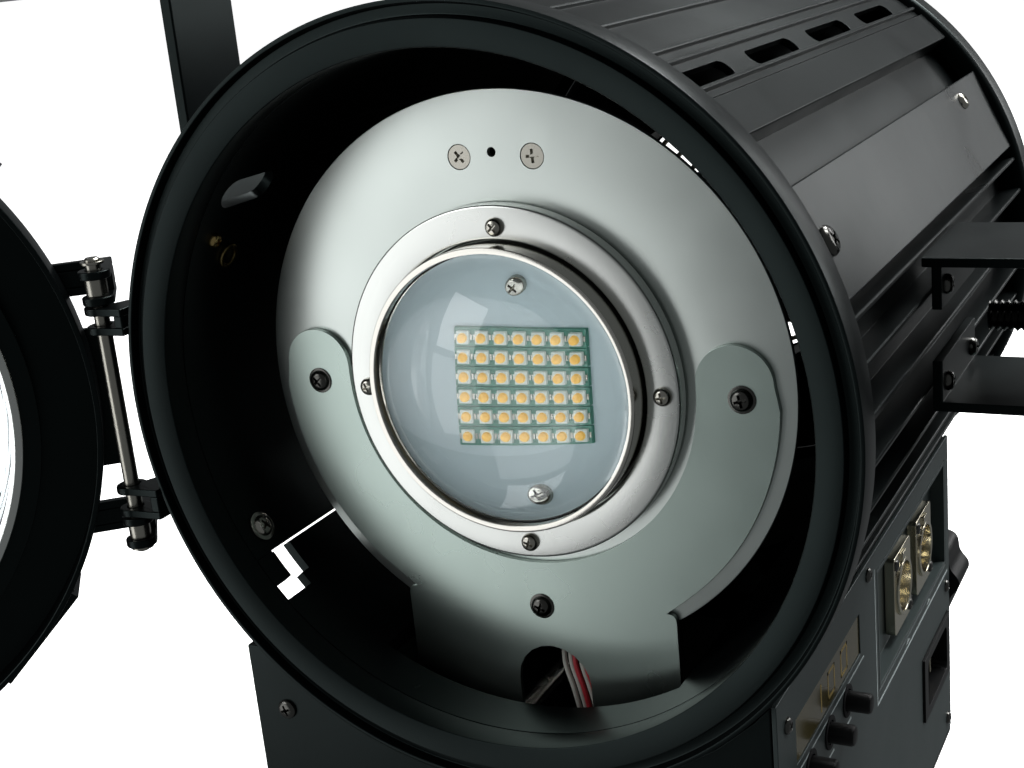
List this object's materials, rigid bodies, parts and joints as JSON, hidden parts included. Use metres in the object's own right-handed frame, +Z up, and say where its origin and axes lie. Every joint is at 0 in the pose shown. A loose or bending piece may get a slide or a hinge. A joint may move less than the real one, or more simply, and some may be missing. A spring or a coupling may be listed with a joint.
{
  "type": "fresnel spotlight",
  "caption": "Studio Fresnel spotlight: ribbed drum on a control box, hinged lens door, LED engine on a screw-driven focusing carriage, tilting yoke with spigot.",
  "frame": {"origin": "centre of the underside of the base plate, on the surface the lamp stands on", "axes": "+X to the right seen from the lamp's front, +Y towards its back, +Z up; the beam leaves along -Y"},
  "size_m": [0.5239, 0.4337, 0.4968],
  "materials": {
    "black_paint": "satin black powder paint",
    "panel_paint": "satin grey-green paint",
    "display": "glossy tinted window",
    "nickel": "bright nickel plate",
    "polished_steel": "ground bright steel",
    "black_plastic": "matt black moulded plastic",
    "brushed_disc": "fine brushed steel",
    "zinc_plate": "zinc plated stamped steel",
    "machined_aluminium": "machined aluminium",
    "barrel_steel": "turned steel, bright rim",
    "lens_glass": "clear polished glass",
    "white_board": "pale solder mask",
    "circuit_board": "green solder mask",
    "brass": "turned brass",
    "wire_cover": "soft wire insulation"
  },
  "bodies": {
    "housing": {"front_ring": "black_paint", "drum_top": "black_paint", "drum_left": "black_paint", "drum_right": "black_paint", "drum_bottom": "black_paint", "rear_ring": "black_paint", "rear_cover": "black_paint", "control_box": "black_paint", "base_plate": "black_paint", "tilt_bracket_left": "black_paint", "tilt_bracket_right": "black_paint", "hinge_lug_upper": "black_paint", "hinge_lug_lower": "black_paint", "door_catch": "black_paint", "control_panel": "panel_paint", "connector_tray": "panel_paint", "display_window": "display", "data_input": "nickel", "data_output": "nickel", "fan_grille": "nickel", "slide_rod_left": "polished_steel", "slide_rod_right": "polished_steel", "hinge_pin": "polished_steel", "pivot_bolt_left": "polished_steel", "power_inlet": "black_plastic", "fan_frame": "black_plastic", "power_supply": "machined_aluminium", "driver_board": "circuit_board"},
    "door": {"door_ring": "black_paint", "fresnel_lens": "lens_glass", "lens_retainer": "black_paint", "door_arm_upper": "black_paint", "door_arm_lower": "black_paint", "accessory_ear_left": "black_paint", "accessory_ear_lower_left": "black_paint", "accessory_ear_lower_right": "black_paint"},
    "door_screw": {"door_screw": "nickel"},
    "accessory_latch": {"accessory_latch": "nickel"},
    "carriage": {"carriage_disc": "brushed_disc", "face_plate": "zinc_plate", "lens_clamp": "machined_aluminium", "lens_barrel": "barrel_steel", "condenser_lens": "lens_glass", "led_board": "white_board", "heat_sink": "machined_aluminium", "slide_block": "machined_aluminium", "lead_nut": "brass", "wire_loom": "wire_cover"},
    "focus": {"focus_screw": "polished_steel", "focus_knob": "black_plastic"},
    "yoke": {"yoke": "black_paint", "spigot": "polished_steel"},
    "tilt_clamp": {"tilt_stud": "polished_steel", "tilt_knob": "black_plastic"},
    "fan_rotor": {"fan_rotor": "black_plastic"},
    "button_1": {"button_1": "black_plastic"},
    "button_2": {"button_2": "black_plastic"},
    "button_3": {"button_3": "black_plastic"},
    "button_4": {"button_4": "black_plastic"}
  },
  "joints": [
    {"name": "door_swing", "type": "hinge", "parent": "housing", "child": "door", "pos_m": [-0.13, -0.1175, 0.215], "axis": [0, 0, 1], "range_deg": [-20, 140]},
    {"name": "door_screw_turn", "type": "hinge", "parent": "door", "child": "door_screw", "pos_m": [-0.24083, -0.18766, 0.3445], "axis": [0.6428, -0.766, 0], "continuous": true},
    {"name": "accessory_latch_turn", "type": "hinge", "parent": "door", "child": "accessory_latch", "pos_m": [-0.3044, -0.24061, 0.29773], "axis": [0.6428, -0.766, 0], "range_deg": [-90, 90]},
    {"name": "focus_travel", "type": "slide", "parent": "housing", "child": "carriage", "axis": [0, 1, 0], "range_m": [0, 0.09]},
    {"name": "focus_turn", "type": "hinge", "parent": "housing", "child": "focus", "pos_m": [0.076, 0.12, 0.068], "axis": [0, 1, 0], "range_deg": [0, 1351]},
    {"name": "yoke_tilt", "type": "hinge", "parent": "housing", "child": "yoke", "pos_m": [0, -0.008, 0.221], "axis": [1, 0, 0], "range_deg": [-75, 50]},
    {"name": "tilt_knob_turn", "type": "hinge", "parent": "housing", "child": "tilt_clamp", "pos_m": [0.17, -0.008, 0.221], "axis": [1, 0, 0], "continuous": true},
    {"name": "fan_spin", "type": "hinge", "parent": "housing", "child": "fan_rotor", "pos_m": [0, 0.1365, 0.215], "axis": [0, 1, 0], "continuous": true},
    {"name": "button_1_press", "type": "slide", "parent": "housing", "child": "button_1", "axis": [-1, 0, 0], "range_m": [0, 0.001], "stiffness_N_per_m": 400},
    {"name": "button_2_press", "type": "slide", "parent": "housing", "child": "button_2", "axis": [-1, 0, 0], "range_m": [0, 0.001], "stiffness_N_per_m": 400},
    {"name": "button_3_press", "type": "slide", "parent": "housing", "child": "button_3", "axis": [-1, 0, 0], "range_m": [0, 0.001], "stiffness_N_per_m": 400},
    {"name": "button_4_press", "type": "slide", "parent": "housing", "child": "button_4", "axis": [-1, 0, 0], "range_m": [0, 0.001], "stiffness_N_per_m": 400}
  ],
  "couplings": [
    {"joint": "focus_turn", "follows": "focus_travel", "rad_per_m": 261.8}
  ]
}
